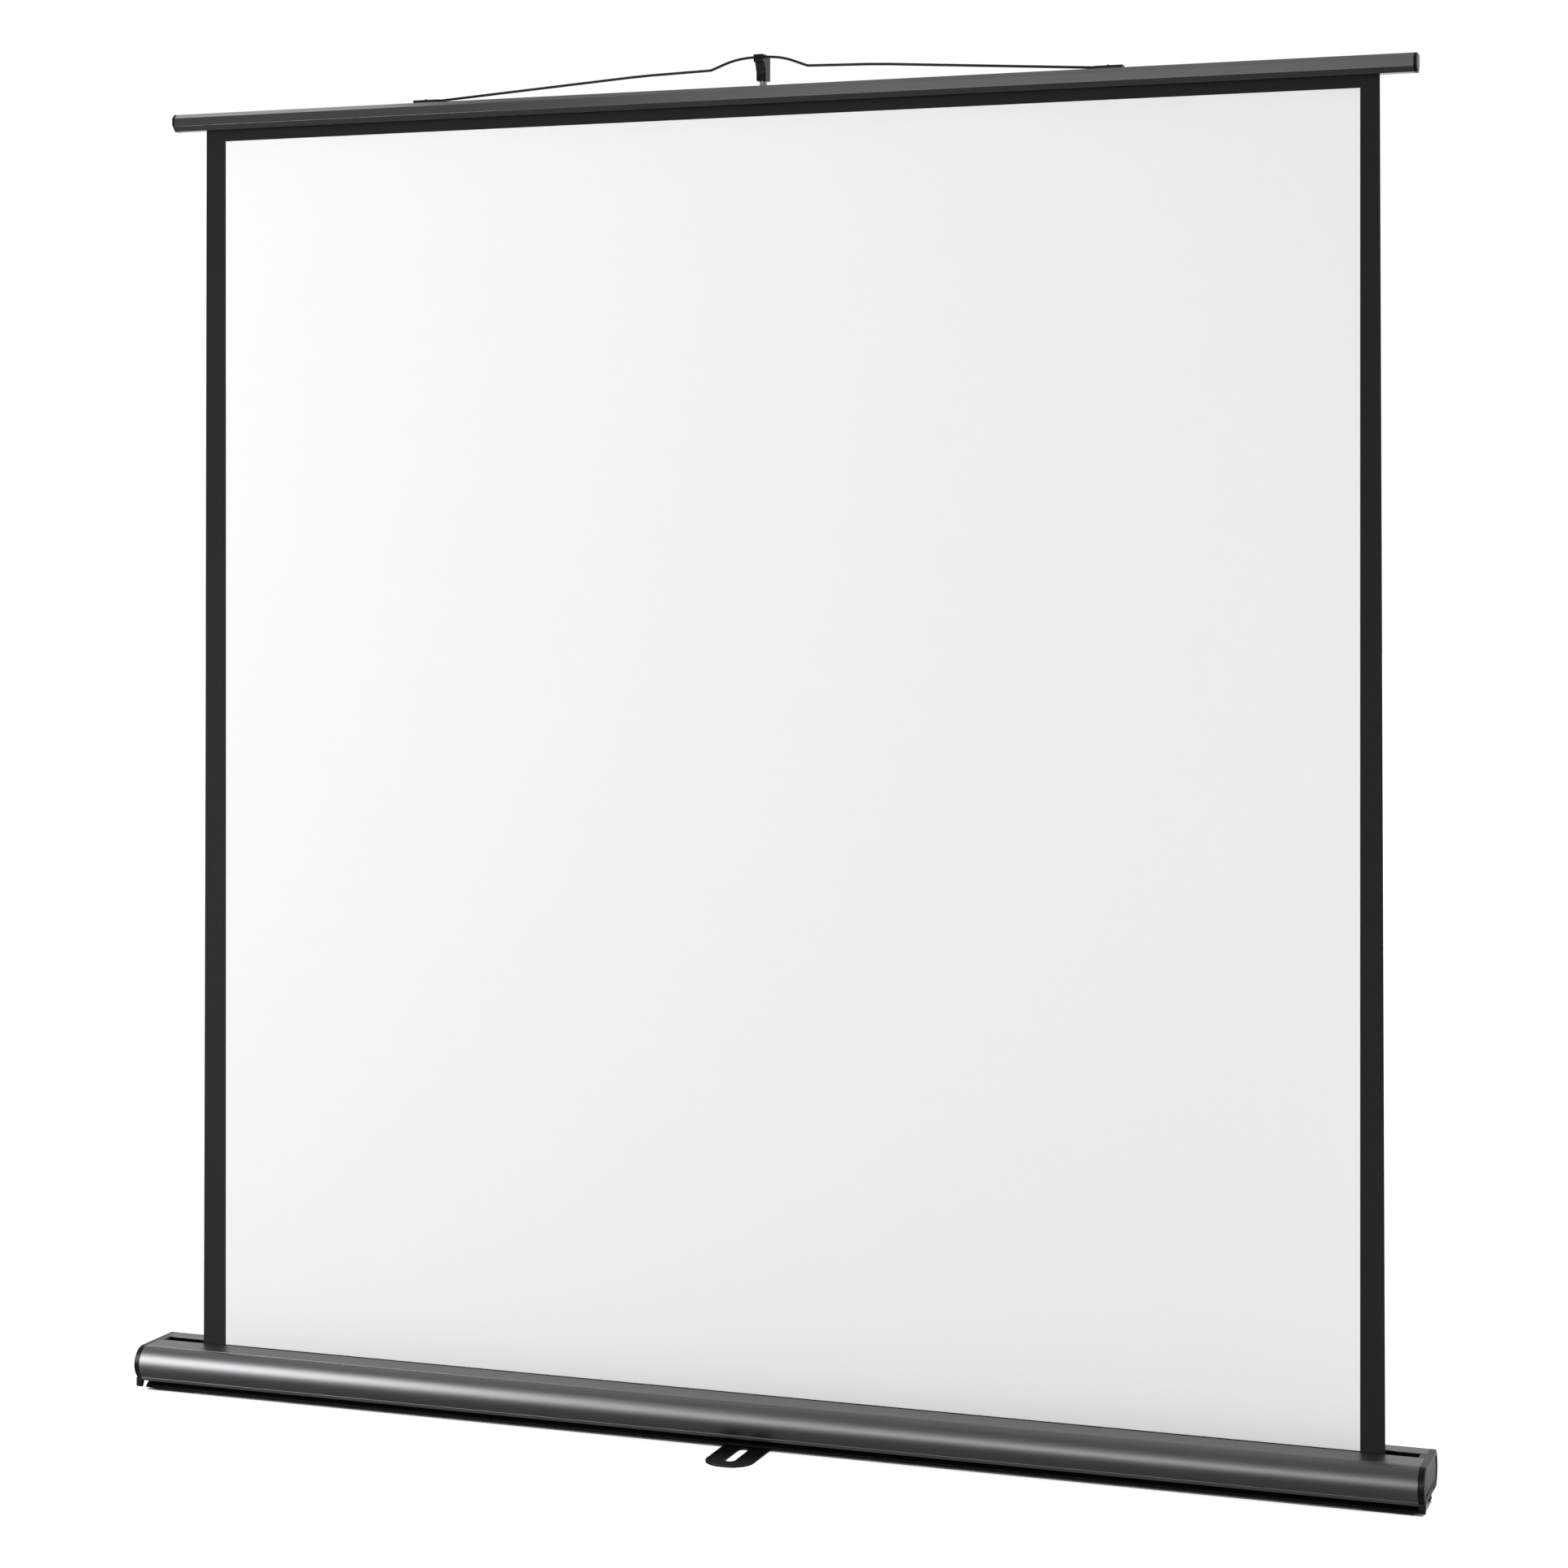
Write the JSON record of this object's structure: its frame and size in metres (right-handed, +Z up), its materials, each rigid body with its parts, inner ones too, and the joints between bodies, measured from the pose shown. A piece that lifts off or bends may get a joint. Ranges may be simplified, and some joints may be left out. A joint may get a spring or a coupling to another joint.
{
  "type": "portable projection screen",
  "caption": "Floor-standing pull-up projection screen: bordered fabric rises from a slotted roller case to a bar held by a wire on a folding telescopic mast, with a swivel foot.",
  "frame": {"origin": "on the floor, under the middle of the case", "axes": "+X along the screen to the right as the audience sees it, +Y away from the audience, +Z up"},
  "size_m": [1.734, 0.241, 1.7785],
  "materials": {
    "case_aluminium": "dark grey satin, fine lengthways brush",
    "rail_aluminium": "black satin",
    "black_plastic": "fine moulded texture",
    "nylon": "plain",
    "mast_steel": "bright drawn tube",
    "plain_steel": "zinc plated",
    "dark_screws": "black oxide",
    "black_steel": "black powder coat",
    "rubber_pads": "matt",
    "screen_fabric": "matt white with black borders and back"
  },
  "bodies": {
    "case": {"case_housing": "case_aluminium", "end_cap_left": "black_plastic", "end_cap_right": "black_plastic", "end_cap_screws": "dark_screws", "base_rail": "rail_aluminium", "rail_screws": "dark_screws", "rail_pads": "rubber_pads", "spring_shaft": "plain_steel", "gudgeon_bush": "nylon", "foot_pivot_bolt": "plain_steel", "foot_bush": "nylon", "mast_bracket": "black_steel", "bracket_screws": "dark_screws", "mast_pivot_pin": "plain_steel", "projection_fabric": "screen_fabric"},
    "roller": {"roller_tube": "plain_steel", "spring_plug": "black_plastic", "idler_plug": "black_plastic", "roller_spring": "plain_steel", "fabric_roll": "screen_fabric"},
    "bar": {"top_bar": "case_aluminium", "bar_plug_left": "black_plastic", "bar_plug_right": "black_plastic", "hem_rod": "plain_steel", "hanger_wire": "black_steel", "wire_clips": "black_steel", "clip_rivets": "dark_screws"},
    "mast_1": {"mast_knuckle": "black_plastic", "mast_tube_1": "mast_steel", "mast_collar_1": "black_plastic"},
    "mast_2": {"mast_tube_2": "mast_steel", "mast_collar_2": "black_plastic"},
    "mast_3": {"mast_tube_3": "mast_steel", "mast_collar_3": "black_plastic"},
    "mast_4": {"mast_tube_4": "mast_steel", "hook_head": "black_plastic"},
    "knob_1": {"clamp_knob_1": "black_plastic"},
    "knob_2": {"clamp_knob_2": "black_plastic"},
    "knob_3": {"clamp_knob_3": "black_plastic"},
    "foot": {"swivel_foot": "black_steel"}
  },
  "joints": [
    {"name": "screen_lower", "type": "slide", "parent": "case", "child": "bar", "axis": [0, 0, 1], "range_m": [-1.65, 0], "deforming": ["projection_fabric", "hanger_wire"]},
    {"name": "roller_turn", "type": "hinge", "parent": "case", "child": "roller", "pos_m": [0, -0.01775, 0.037], "axis": [1, 0, 0], "range_deg": [-5400, 0]},
    {"name": "mast_fold", "type": "hinge", "parent": "case", "child": "mast_1", "pos_m": [0.009, 0.029, 0.078], "axis": [0, 1, 0], "range_deg": [-90, 0], "deforming": ["hanger_wire"]},
    {"name": "foot_swivel", "type": "hinge", "parent": "case", "child": "foot", "pos_m": [0.009, 0, 0], "axis": [0, 0, 1], "range_deg": [-90, 0]},
    {"name": "mast_slide_1", "type": "slide", "parent": "mast_1", "child": "mast_2", "axis": [0, 0, 1], "range_m": [-0.37, 0], "deforming": ["hanger_wire"]},
    {"name": "mast_slide_2", "type": "slide", "parent": "mast_2", "child": "mast_3", "axis": [0, 0, 1], "range_m": [-0.37, 0], "deforming": ["hanger_wire"]},
    {"name": "mast_slide_3", "type": "slide", "parent": "mast_3", "child": "mast_4", "axis": [0, 0, 1], "range_m": [-0.37, 0], "deforming": ["hanger_wire"]},
    {"name": "knob_turn_1", "type": "hinge", "parent": "mast_1", "child": "knob_1", "pos_m": [0.009, 0.047, 0.55088], "axis": [0, 1, 0], "range_deg": [-180, 0]},
    {"name": "knob_turn_2", "type": "hinge", "parent": "mast_2", "child": "knob_2", "pos_m": [0.009, 0.047, 0.95175], "axis": [0, 1, 0], "range_deg": [-180, 0]},
    {"name": "knob_turn_3", "type": "hinge", "parent": "mast_3", "child": "knob_3", "pos_m": [0.009, 0.047, 1.35263], "axis": [0, 1, 0], "range_deg": [-180, 0]}
  ],
  "couplings": [
    {"joint": "roller_turn", "follows": "screen_lower", "rad_per_m": 56.338}
  ]
}
